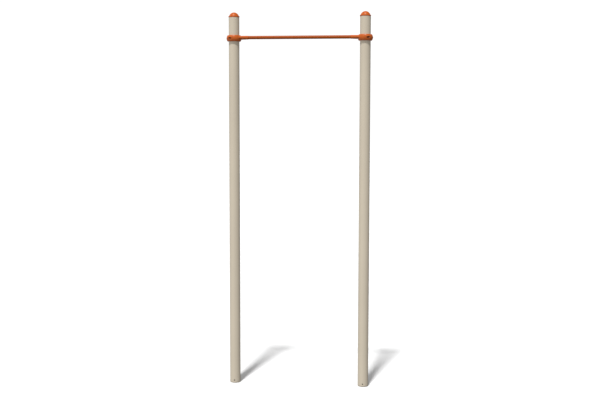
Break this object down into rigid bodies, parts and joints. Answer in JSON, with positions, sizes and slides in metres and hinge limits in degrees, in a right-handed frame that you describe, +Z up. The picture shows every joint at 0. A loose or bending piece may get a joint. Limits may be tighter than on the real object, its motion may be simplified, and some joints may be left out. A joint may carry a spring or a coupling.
{
  "type": "kip bar",
  "caption": "Outdoor kip bar: a round horizontal bar clamped between tall round posts with domed caps, with feet made to be set in concrete footings.",
  "frame": {"origin": "midway between the posts, on the plane of their feet", "axes": "+X along the bar from the left post to the right post, +Y away from the viewer, +Z up along the posts"},
  "size_m": [1.2306, 0.1256, 3.15],
  "materials": {
    "post_paint": "tan powder coat, satin",
    "bar_paint": "orange powder coat, satin",
    "casting_paint": "orange powder coat on a casting, satin",
    "plug_plastic": "moulded, matt",
    "stainless": "turned stainless steel",
    "rivet_aluminium": "plain aluminium"
  },
  "bodies": {
    "root": {"kip_bar": "bar_paint", "left_post": "post_paint", "left_foot_plug": "plug_plastic", "left_cap": "casting_paint", "left_cap_rivets": "rivet_aluminium", "left_clamp_inner": "casting_paint", "left_clamp_outer": "casting_paint", "left_clamp_screws": "stainless", "left_clamp_washers": "stainless", "left_clamp_bushes": "stainless", "left_lock_rivet": "rivet_aluminium", "left_bar_pin": "stainless", "right_post": "post_paint", "right_foot_plug": "plug_plastic", "right_cap": "casting_paint", "right_cap_rivets": "rivet_aluminium", "right_clamp_inner": "casting_paint", "right_clamp_outer": "casting_paint", "right_clamp_screws": "stainless", "right_clamp_washers": "stainless", "right_clamp_bushes": "stainless", "right_lock_rivet": "rivet_aluminium", "right_bar_pin": "stainless"}
  },
  "joints": []
}
